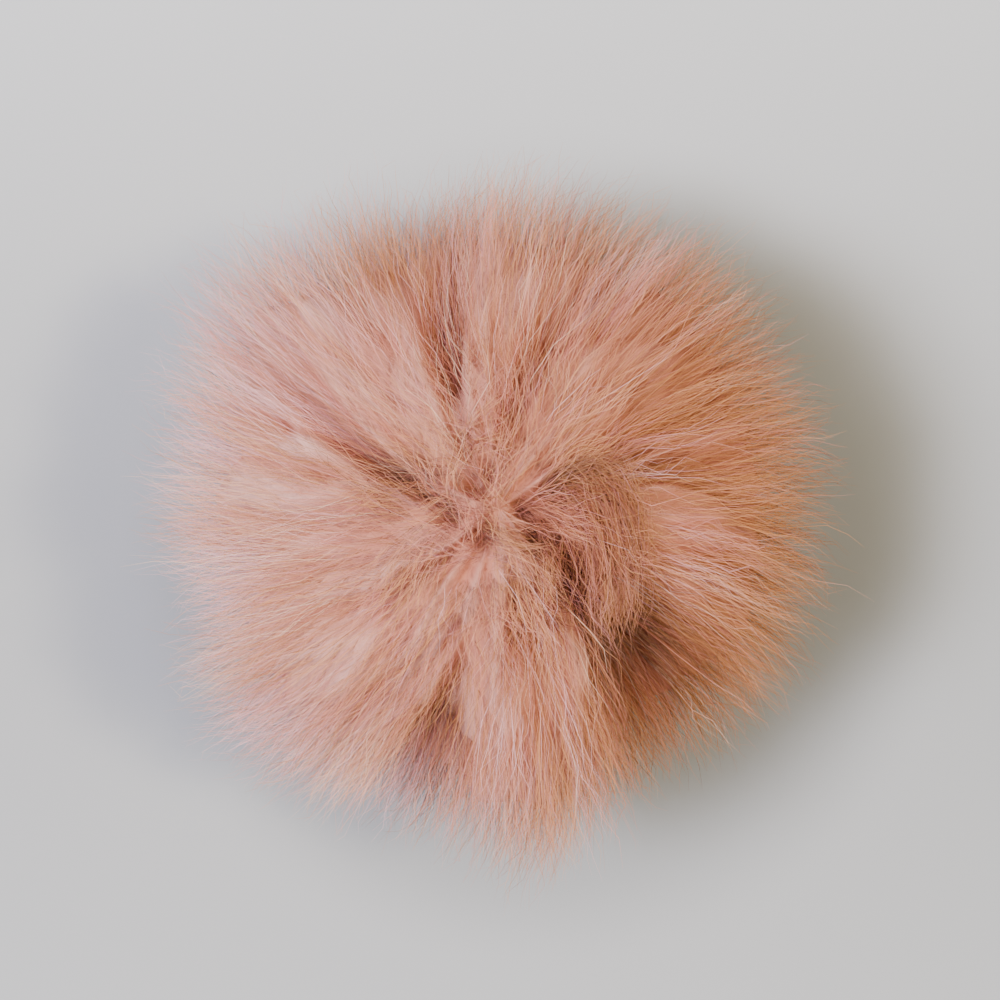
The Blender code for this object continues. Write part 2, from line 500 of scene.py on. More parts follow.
# How they gather: how far each lock, tuft and wisp strays, in radians, and how far the tufts draw
# in to their lock and the wisps to their tuft by the tip
LOCKS = 130
TUFTS = 1300
LOCK_BEND = 0.09
TUFT_BEND = 0.075
WISP_BEND = 0.10
LOCK_PULL = 0.50
TUFT_PULL = 0.35
CROWN_TANGLE = 2.6  # how much more they all stray at the crown
TOP_CROWDING = 0.3  # how much closer together the roots are at the top
ROOT_SINK = 0.97  # the roots lie this share of the ball's radius from its middle
WITHIN = 0.985  # hairs end this share of the way to the table, and the crown's to the pile's reach
LEAST_HEIGHT = 0.0006
LINE_POINTS = 9  # on the middle line of each lock, tuft and wisp
LOCK_SEED = 5
LOCK_LENGTHS = (1.0, 0.03)  # the mean and the spread of the shares of the pile's reach they take up
TUFT_LENGTHS = (0.99, 0.04)

# How their tone varies, and how pink they are, from one lock, tuft and wisp to the next
LOCK_TONE = 0.10
TUFT_TONE = 0.18
WISP_TONE = 0.15
LOCK_PINK = 0.7
TUFT_PINK = 0.8
WISP_PINK = 0.6
# Painted light: more of the pile is pink at the left, in the window's light, and golden at the right
PINK_SIDE_PAINTED_LIGHT = 0.5  # how much more of the pile is pink at the left, and golden at the right

# The hair's colour is the one for its tone, times a painted shade for its place along the hair,
# darkest at the root, deep in the pile. The map holds the tone across, and the golden hairs below
# the pink ones.
HAIR_MAP = "OFBake"
PINK_HALF = 0.5
HAIR_SPAN = 0.47
HAIR_TONES = (
    (0.0, (0.475, 0.186, 0.080)),
    (0.25, (0.545, 0.240, 0.115)),
    (0.38, (0.717, 0.332, 0.165)),
    (0.48, (0.720, 0.308, 0.235)),
    (0.60, (0.855, 0.410, 0.225)),
    (0.74, (0.855, 0.405, 0.335)),
    (1.0, (0.99, 0.67, 0.597)),
)
ShadeAlongHair = namedtuple("ShadeAlongHair", "place golden pink")
SHADE_ALONG_HAIR = (
    ShadeAlongHair(0.0, (0.20, 0.243, 0.29), (0.236, 0.194, 0.235)),
    ShadeAlongHair(0.26, (0.475, 0.45, 0.43), (0.53, 0.387, 0.42)),
    ShadeAlongHair(0.37, (0.87, 0.80, 0.67), (0.877, 0.704, 0.76)),
    ShadeAlongHair(0.42, (1.0, 0.97, 0.80), (0.985, 0.88, 0.98)),
    ShadeAlongHair(0.49, (1.0, 0.97, 0.80), (0.985, 0.88, 0.98)),
)
CORNER_STEP = 0.004  # how far apart a hair's corners lie on the map
HAIR_TONE = 0.11  # how far a hair's tone differs from its wisp's
TONE_EDGES = (0.02, 0.97)
PAINTED_SHADE_SHIFT = 0.92  # painted shade: how much nearer its root a hair's colours come from in the deepest parting
PAINTED_SHADE_GROWTH = 1.35

# How each hair is shaped
SIDES = 3
OWN_NORMAL = 0.08  # how much of its own roundness shows in its shading
POINT_CROWDING = 0.3  # under 1, its points crowd towards the tip, where it shows
LENGTH_CROWDING = 0.4  # under 1, more hairs are long than short
GAUGES = (0.75, 1.25)  # how much thinner or thicker it is than the hair radius
TIP_THINNING = 0.8
TIP_SHARPNESS = 6.0
FRIZZ_GROWTH = 4.0  # how much more it frizzes at the tip than the frizz says
FRIZZ_PATTERNS = 50.0
HAIR_OFF_TABLE = 0.0004

QUARTERS = ("pile_back_right", "pile_back_left", "pile_front_left", "pile_front_right")
PILE_WISPS = 4100
PILE_SEED = 20
PILE_LENGTHS = (0.98, 1.12)  # in shares of the pile's reach
PILE_HAIRS = {
    "Hairs per wisp": 5,
    "Points": 6,
    "Root spread": 0.0006,
    "Tip spread": 0.0028,
    "Frizz": 0.0029,
    "Frizz scale": 130.0,
    "Least length": 0.74,
    "Hair radius": 0.00005,
}


def leaned(ways, axis, degrees):
    """Each way turned away from the axis, in the plane that holds both."""
    along = ways @ axis
    aside = ways - along[:, None] * axis
    aside /= np.maximum(np.linalg.norm(aside, axis=1, keepdims=True), 1e-9)
    turned = np.arccos(np.clip(along, -1, 1)) + np.radians(degrees)
    return np.cos(turned)[:, None] * axis + np.sin(turned)[:, None] * aside


def turned_about_up(ways, degrees):
    turn = np.radians(degrees)
    x = ways[:, 0] * np.cos(turn) - ways[:, 1] * np.sin(turn)
    y = ways[:, 0] * np.sin(turn) + ways[:, 1] * np.cos(turn)
    return np.stack([x, y, ways[:, 2]], 1)


def combed(ways, share):
    """Where pile rooted at these ways points, a share of the way along it, but for partings."""
    off = angle_off(ways, CROWN)
    lean = CROWN_LEAN * (1 - off / 180) ** 2 * (1 - np.exp(-off / CROWN_REACH))
    low = np.maximum(0.0, -ways[:, 2]) ** 2
    splay = FOOT_SPLAY * 4 * low * (1 - low)
    bend = share**LEAN_GROWTH
    down = np.array([0.0, 0.0, -1.0])
    lying = leaned(leaned(ways, CROWN, lean * bend), down, splay * bend)
    return turned_about_up(lying, -TWIST * bend)


def laid(ways, share):
    """Where pile rooted at these ways points, a share of the way along it."""
    lying = combed(ways, share)
    turn = np.zeros(len(ways))
    for parting, aside, near in beside_partings(lying):
        turn += parting.push * aside * bell(aside) * near
    return turned_about_up(lying, turn * share**LEAN_GROWTH)


def ways_on_ball(count, chance):
    """Ways from the middle of the ball, in an uneven spiral, a little closer together at the top."""
    turn = np.arange(count) * math.pi * (3 - math.sqrt(5))
    share = (np.arange(count) + 0.5) / count
    height = 1 - 2 * share * (1 - TOP_CROWDING * (1 - share))
    flat = np.sqrt(1 - height * height)
    ways = np.stack([flat * np.cos(turn), flat * np.sin(turn), height], 1)
    ways += chance.normal(0, 1.0 / math.sqrt(count), ways.shape)
    return ways / np.linalg.norm(ways, axis=1, keepdims=True)


def strands(ways, lengths, bend, chance):
    """Lines from these ways on the ball that follow the lay, each straying by a bend of its own."""
    tips = laid(ways, 1.0)
    reach = reach_of(tips) * lengths
    to_table = np.where(tips[:, 2] < 0, way_to_table(tips), 1.0)
    reach = np.minimum(reach, to_table * WITHIN)
    stray = chance.normal(0, bend, (len(ways), 3))
    stray *= (1 + CROWN_TANGLE * bell(angle_off(ways, CROWN) / CROWN_REACH))[:, None]
    lines = np.empty((len(ways), LINE_POINTS, 3))
    for number in range(LINE_POINTS):
        share = number / (LINE_POINTS - 1)
        lying = laid(ways, share) + stray * share**1.5
        lying /= np.linalg.norm(lying, axis=1, keepdims=True)
        out = share * (1 + RISE * (1 - share))
        distance = BALL_RADIUS * ROOT_SINK + (reach - BALL_RADIUS) * out
        lines[:, number] = BALL_MIDDLE + lying * distance[:, None]
    return lines


def drawn_in(lines, ways, group_lines, group_ways, pull):
    """Each line drawn towards the line of its nearest group, more and more towards the tip."""
    mine = np.argmax(ways @ group_ways.T, axis=1)
    share = np.linspace(0, 1, lines.shape[1])[None, :, None]
    return lines + (group_lines[mine] - lines) * pull * share**1.3, mine


def wisp_lines(ways, lengths, chance):
    """The middle lines of wisps, gathered in tufts and locks, each wisp's tone of dye with painted
    light added, and whether it is pink."""
    fixed = np.random.default_rng(LOCK_SEED)
    locks = ways_on_ball(LOCKS, fixed)
    lock_lines = strands(locks, fixed.normal(*LOCK_LENGTHS, LOCKS), LOCK_BEND, fixed)
    lock_tone = fixed.normal(0, LOCK_TONE, LOCKS)
    tufts = ways_on_ball(TUFTS, fixed)
    tuft_lines = strands(tufts, fixed.normal(*TUFT_LENGTHS, TUFTS), TUFT_BEND, fixed)
    tuft_lines, lock = drawn_in(tuft_lines, tufts, lock_lines, locks, LOCK_PULL)
    tuft_tone = lock_tone[lock] + fixed.normal(0, TUFT_TONE, TUFTS)
    tuft_pink = fixed.normal(0, LOCK_PINK, LOCKS)[lock] + fixed.normal(0, TUFT_PINK, TUFTS)
    lines = strands(ways, lengths, WISP_BEND, chance)
    lines, tuft = drawn_in(lines, ways, tuft_lines, tufts, TUFT_PULL)
    lines[:, :, 2] = np.maximum(lines[:, :, 2], LEAST_HEIGHT)
    tone = MIDDLE_TONE + tuft_tone[tuft] + chance.normal(0, WISP_TONE, len(ways))
    tone += painted_light_on_tone(ways)
    pink = tuft_pink[tuft] + chance.normal(0, WISP_PINK, len(ways)) > PINK_SIDE_PAINTED_LIGHT * ways[:, 0]
    return lines, np.clip(tone, 0, 1), pink


def guide_mesh(name, lines, tone, pink, depth=None):
    """The middle lines as loose edges, with each wisp's tone, whether it is pink, and how deep in
    a parting it ends, which sets its painted shade."""
    if depth is None:
        tips = lines[:, -1] - BALL_MIDDLE
        depth = painted_shade_at(tips / np.linalg.norm(tips, axis=1, keepdims=True))
    wisps, points = lines.shape[:2]
    data = bpy.data.meshes.new(name)
    data.vertices.add(wisps * points)
    data.vertices.foreach_set("co", lines.astype(np.float32).ravel())
    first = np.arange(wisps * points).reshape(wisps, points)
    edges = np.stack([first[:, :-1], first[:, 1:]], -1).reshape(-1, 2)
    data.edges.add(len(edges))
    data.edges.foreach_set("vertices", edges.astype(np.int32).ravel())
    for kept, values in (("tone", tone), ("pink", pink), ("depth", depth)):
        keep_values(data, kept, np.repeat(values, points))
    return put_in_scene(name, data)


def pile_finish():
    material, tree, shader = new_finish("blush_pile", roughness=0.8)
    shader.inputs["Specular IOR Level"].default_value = 0.0
    spot = tree.nodes.new("ShaderNodeUVMap")
    spot.uv_map = HAIR_MAP
    on_map = tree.nodes.new("ShaderNodeSeparateXYZ")
    tree.links.new(spot.outputs["UV"], on_map.inputs["Vector"])
    dye = coloured(tree, on_map.outputs["X"], HAIR_TONES)
    # times painted shade for its place along the hair, darkest at the root
    stops = [(row.place, row.golden) for row in SHADE_ALONG_HAIR]
    stops += [(PINK_HALF + row.place, row.pink) for row in SHADE_ALONG_HAIR]
    shade = coloured(tree, on_map.outputs["Y"], stops)
    tree.links.new(multiplied(tree, dye, shade), shader.inputs["Base Color"])
    return material


def hair_maker():
    """Geometry Nodes: fans each wisp's line out into hairs, each a tapered three-sided strand."""
    tree = bpy.data.node_groups.new("hair_maker", "GeometryNodeTree")
    new, join = tree.nodes.new, tree.links.new
    number, vector = partial(number_of, tree), partial(vector_of, tree)
    sockets = tree.interface.new_socket
    sockets("Wisps", in_out="INPUT", socket_type="NodeSocketGeometry")
    for name, kind in (
        ("Hairs per wisp", "Int"),
        ("Points", "Int"),
        ("Root spread", "Float"),
        ("Tip spread", "Float"),
        ("Frizz", "Float"),
        ("Frizz scale", "Float"),
        ("Least length", "Float"),
        ("Hair radius", "Float"),
        ("Seed", "Int"),
        ("Material", "Material"),
    ):
        sockets(name, in_out="INPUT", socket_type="NodeSocket" + kind)
    sockets("Hairs", in_out="OUTPUT", socket_type="NodeSocketGeometry")
    given = new("NodeGroupInput").outputs

    def kept(geometry, domain, kind, **values):
        """The geometry with these values kept on it, as they are at this step."""
        node = new("GeometryNodeCaptureAttribute")
        node.domain = domain
        join(geometry, node.inputs["Geometry"])
        for name, value in values.items():
            node.capture_items.new(kind, name)
            join(value, node.inputs[name])
        return node.outputs

    def of_wisp(name):
        node = new("GeometryNodeInputNamedAttribute")
        node.data_type = "FLOAT"
        node.inputs["Name"].default_value = name
        return node.outputs["Attribute"]

    # each hair keeps the number of its wisp and gets one of its own
    lines = new("GeometryNodeMeshToCurve")
    join(given["Wisps"], lines.inputs["Mesh"])
    index = new("GeometryNodeInputIndex").outputs["Index"]
    numbered = kept(lines.outputs["Curve"], "CURVE", "INT", wisp=index)
    copies = new("GeometryNodeDuplicateElements")
    copies.domain = "SPLINE"
    join(numbered["Geometry"], copies.inputs["Geometry"])
    join(given["Hairs per wisp"], copies.inputs["Amount"])
    even = new("GeometryNodeResampleCurve")
    join(copies.outputs["Geometry"], even.inputs["Curve"])
    join(given["Points"], even.inputs["Count"])
    hairs = kept(even.outputs["Curve"], "CURVE", "INT", hair=index)

    def chance(low, high, draw):
        """A number, or a vector, that each hair draws for itself."""
        node = new("FunctionNodeRandomValue")
        vectors = isinstance(low, tuple)
        node.data_type = "FLOAT_VECTOR" if vectors else "FLOAT"
        seed = new("FunctionNodeIntegerMath")
        seed.operation = "ADD"
        seed.inputs[1].default_value = draw
        join(given["Seed"], seed.inputs[0])
        join(seed.outputs[0], node.inputs["Seed"])
        join(hairs["hair"], node.inputs["ID"])
        first = 0 if vectors else 2
        node.inputs[first].default_value = low
        node.inputs[first + 1].default_value = high
        return node.outputs[0 if vectors else 1]

    # its points crowd towards the tip, where it shows, and it ends at a length of its own
    along = new("GeometryNodeSplineParameter").outputs["Factor"]
    longest = number("SUBTRACT", 1.0, given["Least length"])
    own_length = number("POWER", chance(0.0, 1.0, draw=1), LENGTH_CROWDING)
    ends = number("MULTIPLY_ADD", own_length, longest, given["Least length"])
    share = number("MULTIPLY", number("POWER", along, POINT_CROWDING), ends)
    sample = new("GeometryNodeSampleCurve")
    sample.mode = "FACTOR"
    sample.data_type = "FLOAT"
    join(lines.outputs["Curve"], sample.inputs["Curves"])
    join(share, sample.inputs["Factor"])
    join(numbered["wisp"], sample.inputs["Curve Index"])
    middle = sample.outputs["Position"]

    # its place in the wisp, and a frizz of its own
    widening = number("SUBTRACT", given["Tip spread"], given["Root spread"])
    spread = number("MULTIPLY_ADD", share, widening, given["Root spread"])
    offset = scaled(tree, chance((-1, -1, -1), (1, 1, 1), draw=2), spread)
    noise = new("ShaderNodeTexNoise")
    noise.noise_dimensions = "4D"
    noise.inputs["Detail"].default_value = 1
    join(given["Frizz scale"], noise.inputs["Scale"])
    join(middle, noise.inputs["Vector"])
    join(chance(0.0, FRIZZ_PATTERNS, draw=3), noise.inputs["W"])
    wave = vector("SUBTRACT", noise.outputs["Color"], (0.5, 0.5, 0.5))
    growth = number("MULTIPLY", share, FRIZZ_GROWTH)
    frizz = scaled(tree, wave, number("MULTIPLY", given["Frizz"], growth))
    place = new("ShaderNodeSeparateXYZ")
    join(vector("ADD", middle, vector("ADD", offset, frizz)), place.inputs[0])
    above_table = new("ShaderNodeCombineXYZ")
    join(place.outputs["X"], above_table.inputs["X"])
    join(place.outputs["Y"], above_table.inputs["Y"])
    join(number("MAXIMUM", place.outputs["Z"], HAIR_OFF_TABLE), above_table.inputs["Z"])
    move = new("GeometryNodeSetPosition")
    join(hairs["Geometry"], move.inputs["Geometry"])
    join(above_table.outputs[0], move.inputs["Position"])

    # how thick it is, and where it falls on the colour map
    thinned = number("MULTIPLY", number("POWER", along, TIP_SHARPNESS), TIP_THINNING)
    taper = number("SUBTRACT", 1.0, thinned)
    gauge = number("MULTIPLY", given["Hair radius"], chance(*GAUGES, draw=4))
    wide = new("GeometryNodeSetCurveRadius")
    join(move.outputs["Geometry"], wide.inputs["Curve"])
    join(number("MULTIPLY", gauge, taper), wide.inputs["Radius"])
    own_tone = number("ADD", of_wisp("tone"), chance(-HAIR_TONE, HAIR_TONE, draw=5))
    lowest, highest = TONE_EDGES
    on_map = number("MINIMUM", number("MAXIMUM", own_tone, lowest), highest)
    # deep in a parting, a hair takes its colours from nearer its root, as painted shade
    painted_shade_factor = number("MULTIPLY_ADD", number("POWER", of_wisp("depth"), PAINTED_SHADE_GROWTH), -PAINTED_SHADE_SHIFT, 1.0)
    values = {"tone": on_map, "along": number("MULTIPLY", share, painted_shade_factor), "pink": of_wisp("pink")}
    dyed = kept(wide.outputs["Curve"], "POINT", "FLOAT", **values)

    # three sides, whose corners lie a little apart on the map
    section = new("GeometryNodeCurvePrimitiveCircle")
    section.inputs["Resolution"].default_value = SIDES
    section.inputs["Radius"].default_value = 1
    corners = kept(section.outputs["Curve"], "POINT", "INT", corner=index)
    body = new("GeometryNodeCurveToMesh")
    join(dyed["Geometry"], body.inputs["Curve"])
    join(corners["Geometry"], body.inputs["Profile Curve"])
    body.inputs["Fill Caps"].default_value = True
    join(new("GeometryNodeInputRadius").outputs["Radius"], body.inputs["Scale"])
    second = number("COMPARE", corners["corner"], 1.0, 0.1)
    last = number("COMPARE", corners["corner"], 2.0, 0.1)
    sliver = number("MULTIPLY", last, CORNER_STEP)
    across = number("MULTIPLY_ADD", second, 2 * CORNER_STEP, sliver)
    half = number("MULTIPLY_ADD", dyed["pink"], PINK_HALF, sliver)
    spot = new("ShaderNodeCombineXYZ")
    join(number("ADD", dyed["tone"], across), spot.inputs["X"])
    join(number("MULTIPLY_ADD", dyed["along"], HAIR_SPAN, half), spot.inputs["Y"])
    store = new("GeometryNodeStoreNamedAttribute")
    store.data_type = "FLOAT2"
    store.domain = "CORNER"
    store.inputs["Name"].default_value = HAIR_MAP
    join(body.outputs["Mesh"], store.inputs["Geometry"])
    join(spot.outputs[0], store.inputs["Value"])

    smooth = new("GeometryNodeSetShadeSmooth")
    join(store.outputs["Geometry"], smooth.inputs["Geometry"])
    real = new("GeometryNodeRealizeInstances")
    join(smooth.outputs["Geometry"], real.inputs["Geometry"])
    dye = new("GeometryNodeSetMaterial")
    join(real.outputs["Geometry"], dye.inputs["Geometry"])
    join(given["Material"], dye.inputs["Material"])
    join(dye.outputs["Geometry"], new("NodeGroupOutput").inputs["Hairs"])
    return tree


def soften_shading(data, points):
    """Turns the shading normals of a lying hair towards the ball's own, as the light that passes
    through hair evens out. A hair that stands straight out keeps its own."""
    places = np.empty(len(data.vertices) * 3, np.float32)
    data.vertices.foreach_get("co", places)
    places = places.reshape(-1, points, SIDES, 3)
    middles = places.mean(axis=2)
    along = middles[:, -1] - middles[:, points // 3]
    along /= np.linalg.norm(along, axis=1, keepdims=True)
    along = np.repeat(along, points * SIDES, axis=0)
    outward = places.reshape(-1, 3) - BALL_MIDDLE
    outward /= np.linalg.norm(outward, axis=1, keepdims=True)
    outward -= np.sum(outward * along, axis=1, keepdims=True) * along
    own = np.empty(len(data.vertices) * 3, np.float32)
    data.vertex_normals.foreach_get("vector", own)
    normals = outward + own.reshape(-1, 3) * OWN_NORMAL
    normals /= np.linalg.norm(normals, axis=1, keepdims=True)
    data.normals_split_custom_set_from_vertices(normals)


hair_tree = hair_maker()
pile_material = pile_finish()


def hairs_of(name, guides, seed, sizes):
    """Runs the hair nodes on these guides and returns the hairs as one plain mesh object."""
    modifier = guides.modifiers.new("hairs", "NODES")
    modifier.node_group = hair_tree
    values = {**sizes, "Seed": seed, "Material": pile_material}
    for item in hair_tree.interface.items_tree:
        if item.in_out == "INPUT" and item.name in values:
            modifier[item.identifier] = values[item.name]
    graph = bpy.context.evaluated_depsgraph_get()
    data = bpy.data.meshes.new_from_object(guides.evaluated_get(graph))
    data.name = name
    soften_shading(data, sizes["Points"])
    lines = guides.data
    bpy.data.objects.remove(guides)
    bpy.data.meshes.remove(lines)
    hairs = put_in_scene(name, data)
    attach(hairs, "root")
    return hairs


def grow(name, count, seed, lengths, sizes, quarter=None, tone_shift=0.0, below=None):
    """Wisps of hair all over the ball, over one quarter of it, or over what lies below a height."""
    chance = np.random.default_rng(seed)
    ways = ways_on_ball(count, chance)
    length = chance.uniform(*lengths, count)
    if quarter is not None:
        mine = (azimuth_of(ways) // 90).astype(int) == quarter
        ways, length = ways[mine], length[mine]
    if below is not None:
        low = ways[:, 2] < below
        ways, length = ways[low], length[low]
    lines, tone, pink = wisp_lines(ways, length, chance)
    guides = guide_mesh(name + "_lines", lines, np.clip(tone + tone_shift, 0, 1), pink)
    return hairs_of(name, guides, seed * 100, sizes)


for number, name in enumerate(QUARTERS):
    grow(name, PILE_WISPS, PILE_SEED + number, PILE_LENGTHS, PILE_HAIRS, quarter=number)
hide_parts("pompom")


# ---------------------------------------------------------------------------------------------
# The stray hairs and the hairs at the foot: the same acrylic hair, knitted in with the rest. Single
# hairs that slipped out of their wisps stand past the outline, and the foot's are pressed apart.

STRAY_WISPS = 1600
STRAY_SEED = 33
STRAY_LENGTHS = (1.00, 1.14)
STRAY_TONE_SHIFT = 0.1
STRAY_HAIRS = {
    "Hairs per wisp": 1,
    "Points": 5,
    "Root spread": 0.0005,
    "Tip spread": 0.0040,
    "Frizz": 0.0034,
    "Frizz scale": 60.0,
    "Least length": 0.90,
    "Hair radius": 0.00005,
}

FOOT_WISPS = 900
FOOT_SEED = 51
FOOT_LENGTHS = (0.90, 1.08)
FOOT_TOP = 0.15  # how high they are rooted, in shares of the ball's radius over its middle
FOOT_HAIRS = {
    "Hairs per wisp": 5,
    "Points": 5,
    "Root spread": 0.0010,
    "Tip spread": 0.0040,
    "Frizz": 0.0032,
    "Frizz scale": 110.0,
    "Least length": 0.70,
    "Hair radius": 0.00007,
}

grow("stray_hairs", STRAY_WISPS, STRAY_SEED, STRAY_LENGTHS, STRAY_HAIRS, tone_shift=STRAY_TONE_SHIFT)
grow("foot_hairs", FOOT_WISPS, FOOT_SEED, FOOT_LENGTHS, FOOT_HAIRS, below=FOOT_TOP)


# ---------------------------------------------------------------------------------------------
# The crown's hairs: short ends of the same hair, rooted between the gathers. They stand and lie
# every way over the crown, and further off they lie with the long pile.

CROWN_SPAN = math.radians(32.0)
CROWN_LOCKS = 60
CROWN_WISPS = 700
CROWN_SEED = 77
CROWN_LOCK_STRAY = 0.75
CROWN_WISP_STRAY = 0.35
CROWN_START = 0.036  # how far from the ball's middle they start and end
CROWN_END = 0.0485
CROWN_UNEVENNESS = 0.0012
CROWN_LENGTHS = (0.008, 0.016)
CROWN_TONE = 0.08
CROWN_HAIRS = {
    "Hairs per wisp": 5,
    "Points": 6,
    "Root spread": 0.0010,
    "Tip spread": 0.0016,
    "Frizz": 0.0022,
    "Frizz scale": 140.0,
    "Least length": 0.60,
    "Hair radius": 0.00005,
}


def crown_lines(count, points):
    chance = np.random.default_rng(CROWN_SEED)

    def scattered(number):
        off = CROWN_SPAN * chance.uniform(0, 1, number) ** 0.6
        turn = chance.uniform(0, 2 * math.pi, number)
        return ways_about_crown(turn, off), aside_of_crown(turn), off

    locks = scattered(CROWN_LOCKS)[0]
    ways, outward, off = scattered(count)
    lock = np.argmax(ways @ locks.T, axis=1)
    stray = chance.normal(0, CROWN_LOCK_STRAY, (CROWN_LOCKS, 3))[lock]
    stray += chance.normal(0, CROWN_WISP_STRAY, (count, 3))

    # near the crown they lie every way, and further off they lie with the long pile
    steady = (off / CROWN_SPAN)[:, None]
    heading = outward * (0.15 + steady) + stray * (1.5 - 1.1 * steady)
    heading -= np.sum(heading * ways, 1, keepdims=True) * ways
    heading /= np.linalg.norm(heading, axis=1, keepdims=True)
    length = chance.uniform(*CROWN_LENGTHS, count)
    top = CROWN_END + chance.normal(0, CROWN_UNEVENNESS, count)
    lines = np.empty((count, points, 3))
    for number in range(points):
        share = number / (points - 1)
        lying = ways + heading * (length * share**1.3 / CROWN_END)[:, None]
        lying /= np.linalg.norm(lying, axis=1, keepdims=True)
        distance = CROWN_START + (top - CROWN_START) * math.sin(share * math.pi / 2) ** 0.8
        distance = np.minimum(distance, reach_of(lying) * WITHIN)
        lines[:, number] = BALL_MIDDLE + lying * distance[:, None]
    lock_tone = chance.normal(0, CROWN_TONE, CROWN_LOCKS)[lock]
    tone = MIDDLE_TONE + lock_tone + chance.normal(0, CROWN_TONE, count)
    pink = chance.normal(0, 1, CROWN_LOCKS)[lock] + chance.normal(0, WISP_PINK, count) > 0
    return lines, np.clip(tone, 0, 1), pink


crown_guides = guide_mesh("crown_lines", *crown_lines(CROWN_WISPS, points=8))
hairs_of("crown_hairs", crown_guides, CROWN_SEED * 100, CROWN_HAIRS)


# ---------------------------------------------------------------------------------------------
# The cowlick: one tuft of the long pile, rooted right of the crown. It rises out of the gathers,
# curls over clockwise and falls into the parting in front of it.

# The tuft's two edges from the root to the tip: x, y and z in mm
COWLICK_INNER = (
    (5.0, 0.5, 72.0),
    (8.9, 1.6, 86.0),
    (11.2, 3.3, 91.0),
    (13.6, 3.5, 92.5),
    (15.8, 1.4, 91.5),
    (17.3, -2.9, 89.0),
    (18.9, -8.0, 85.5),
    (19.0, -13.2, 81.5),
    (19.8, -18.0, 78.0),
)
COWLICK_OUTER = (
    (5.0, 2.0, 72.0),
    (8.0, 4.0, 86.0),
    (12.0, 7.9, 91.5),
    (16.4, 9.8, 93.5),
    (19.8, 8.2, 93.5),
    (21.6, 3.2, 92.0),
    (21.8, -3.8, 89.0),
    (21.0, -11.4, 84.0),
    (20.4, -18.6, 78.5),
)
COWLICK_WISPS = 150
COWLICK_SEED = 78
COWLICK_SPREAD = 0.0020
COWLICK_SINK = 0.0016  # how far its upper side lies under the edges
COWLICK_THICKNESS = 0.0020
COWLICK_TONES = (0.45, 0.14)  # the mean and the spread of its wisps' tones
COWLICK_HAIRS = {
    "Hairs per wisp": 7,
    "Points": 8,
    "Root spread": 0.0014,
    "Tip spread": 0.0026,
    "Frizz": 0.0024,
    "Frizz scale": 120.0,
    "Least length": 0.40,
    "Hair radius": 0.00005,
}


def through(points, count):
    """A smooth line through the points: a Catmull-Rom curve read at evenly spaced steps."""
    row = np.array(points, float)
    row = np.vstack([2 * row[0] - row[1], row, 2 * row[-1] - row[-2]])
    at = np.linspace(0, len(points) - 1.0001, count)
    whole = at.astype(int)
    part = (at - whole)[:, None]
    before, start, end, after = (row[whole + step] for step in range(4))
    return 0.5 * (
        2 * start
        + (end - before) * part
        + (2 * before - 5 * start + 4 * end - after) * part**2
        + (3 * start - before - 3 * end + after) * part**3
    )


def cowlick_lines(count, points):
    chance = np.random.default_rng(COWLICK_SEED)
    inner = through(COWLICK_INNER, points) / 1000
    outer = through(COWLICK_OUTER, points) / 1000
    across = chance.uniform(-0.05, 1.05, count)
    lines = inner + (outer - inner) * across[:, None, None]
    share = np.linspace(0, 1, points)
    lines = lines + chance.normal(0, COWLICK_SPREAD, (count, 1, 3)) * (0.4 + share[:, None])
    thickness = np.abs(chance.normal(0, COWLICK_THICKNESS, (count, 1)))
    lines[:, :, 2] -= COWLICK_SINK + thickness * share**0.5
    tone = np.clip(chance.normal(*COWLICK_TONES, count), 0, 1)
    return lines, tone, chance.uniform(0, 1, count) > across


lines, tone, pink = cowlick_lines(COWLICK_WISPS, points=14)
cowlick_guides = guide_mesh("cowlick_lines", lines, tone, pink, depth=np.zeros(len(lines)))
hairs_of("cowlick", cowlick_guides, COWLICK_SEED * 100, COWLICK_HAIRS)


# ---------------------------------------------------------------------------------------------
# The table that it lies on: a plain board, painted pale. Painted light makes it a little paler
# at the back and the front, and painted shade darker round the ball, for the sky light that the
# ball keeps off the board.

TABLE_SIZE = 3.0
PAINTED_LIGHT_FADE = 0.12  # painted light: the paint is palest this far in front of the ball and behind it
# the pale paint with painted light: darker across the middle, paler at the back and the front
PAINT_AND_PAINTED_LIGHT = ((0.0, 0.58), (0.3, 0.50), (0.6, 0.50), (1.0, 0.78))
SHADE_MIDDLE = (0.009, -0.005, 0.0)
SHADE_RADIUS = (0.062, 0.090)  # where the shade's full depth ends, and where it is gone
SHADED = 0.72  # what the paint is multiplied by at the painted shade's full depth


def remapped(tree, value, values, results, blend="LINEAR"):
    """A value remapped from one range to another."""
    node = tree.nodes.new("ShaderNodeMapRange")
    node.interpolation_type = blend
    tree.links.new(value, node.inputs["Value"])
    node.inputs["From Min"].default_value, node.inputs["From Max"].default_value = values
    node.inputs["To Min"].default_value, node.inputs["To Max"].default_value = results
    return node.outputs["Result"]


def table_finish():
    material, tree, shader = new_finish("table_paint_with_painted_light_and_shade", roughness=0.8)
    place = tree.nodes.new("ShaderNodeTexCoord").outputs["Object"]
    parts = tree.nodes.new("ShaderNodeSeparateXYZ")
    tree.links.new(place, parts.inputs[0])
    # painted light, from the front to the back
    painted_light_share = remapped(tree, parts.outputs["Y"], (-PAINTED_LIGHT_FADE, PAINTED_LIGHT_FADE), (0.0, 1.0))
    stops = [(share, (shade, shade, shade)) for share, shade in PAINT_AND_PAINTED_LIGHT]
    paint_with_painted_light = coloured(tree, painted_light_share, stops, blend="B_SPLINE")
    # painted shade round the ball
    away = vector_of(tree, "DISTANCE", place, SHADE_MIDDLE)
    near = remapped(tree, away, SHADE_RADIUS, (SHADED, 1.0), blend="SMOOTHSTEP")
    tree.links.new(multiplied(tree, paint_with_painted_light, near), shader.inputs["Base Color"])
    return material


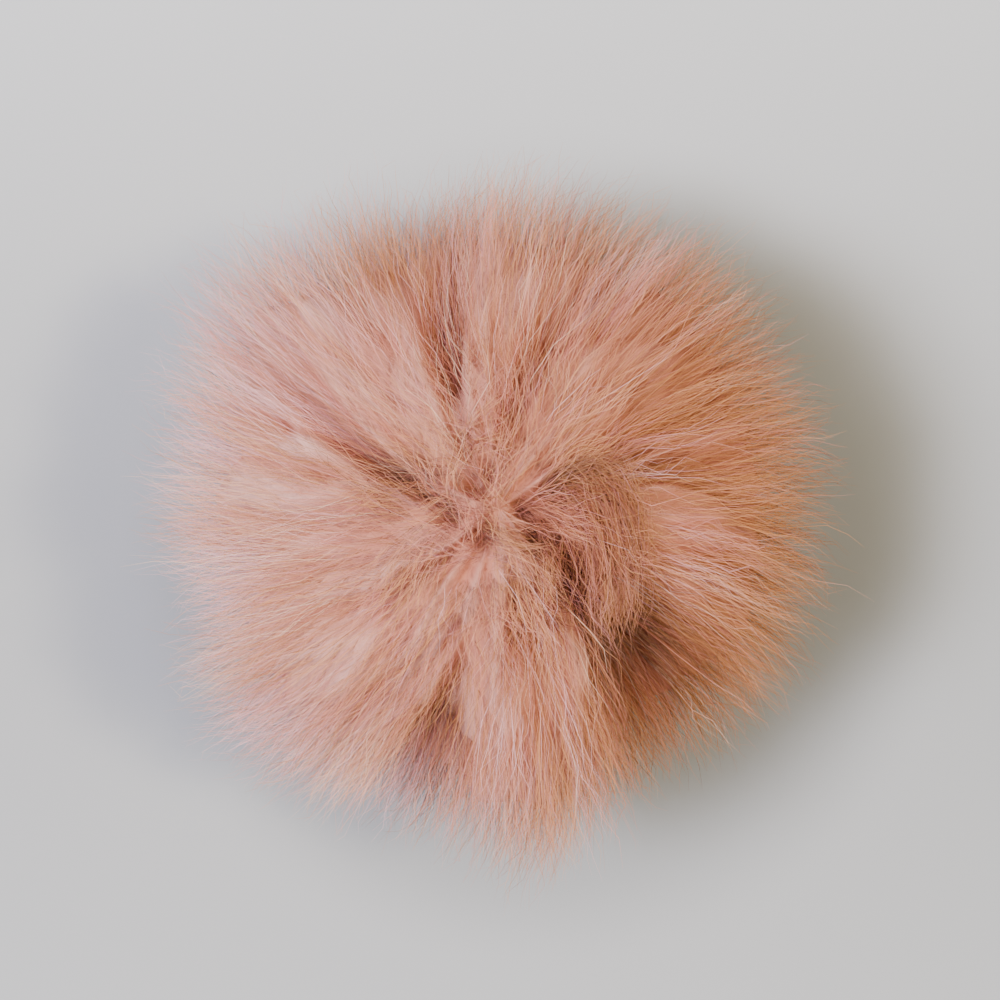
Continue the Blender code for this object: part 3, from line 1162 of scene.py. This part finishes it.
half = TABLE_SIZE / 2
corners = [(-half, -half, 0), (half, -half, 0), (half, half, 0), (-half, half, 0)]
table_data = bpy.data.meshes.new("table")
table_data.from_pydata(corners, [], [(0, 1, 2, 3)])
table_data.materials.append(table_finish())
table = put_in_scene("table", table_data)


# ---------------------------------------------------------------------------------------------
# The light: a cool window on the left and a smaller warm lamp on the right, both high up. A dim
# white room fills the shadows.

LIGHT_DISTANCE = 1.6
SKY_STRENGTH = 0.05

world = bpy.data.worlds.new("studio")
bpy.context.scene.world = world
world.use_nodes = True
sky = world.node_tree.nodes["Background"]
sky.inputs["Color"].default_value = (1.0, 1.0, 1.0, 1)
sky.inputs["Strength"].default_value = SKY_STRENGTH


def soft_light(name, azimuth, elevation, colour, power, size):
    data = bpy.data.lights.new(name, "AREA")
    data.shape = "SQUARE"
    data.size = size
    data.energy = power
    data.color = colour
    lamp = put_in_scene(name, data)
    turn, rise = math.radians(azimuth), math.radians(elevation)
    way = Vector((math.cos(turn) * math.cos(rise), math.sin(turn) * math.cos(rise), math.sin(rise)))
    lamp.location = way * LIGHT_DISTANCE
    lamp.rotation_euler = way.to_track_quat("Z", "Y").to_euler()


WINDOW_COLOUR = (0.847, 0.871, 1.0)
LAMP_COLOUR = (1.0, 0.905, 0.672)
soft_light("cool_window", azimuth=184, elevation=60, colour=WINDOW_COLOUR, power=39.8, size=0.42)
soft_light("warm_lamp", azimuth=1, elevation=61, colour=LAMP_COLOUR, power=19.0, size=0.20)


# ---------------------------------------------------------------------------------------------
# The camera: straight above, looking down on the crown through a long lens. Its view is centred
# a little behind the ball's middle.

VIEW_WIDTH = 0.1887  # what the view spans at the height of the ball's middle
VIEW_CENTRE = (0.0006, 0.0042)
LENS = 85.0
SENSOR = 36.0

lens = bpy.data.cameras.new("camera")
lens.lens = LENS
lens.sensor_width = SENSOR
camera = put_in_scene("camera", lens)
camera.location = (*VIEW_CENTRE, float(BALL_MIDDLE[2]) + VIEW_WIDTH * LENS / SENSOR)
camera.rotation_euler = (0, 0, 0)
bpy.context.scene.camera = camera
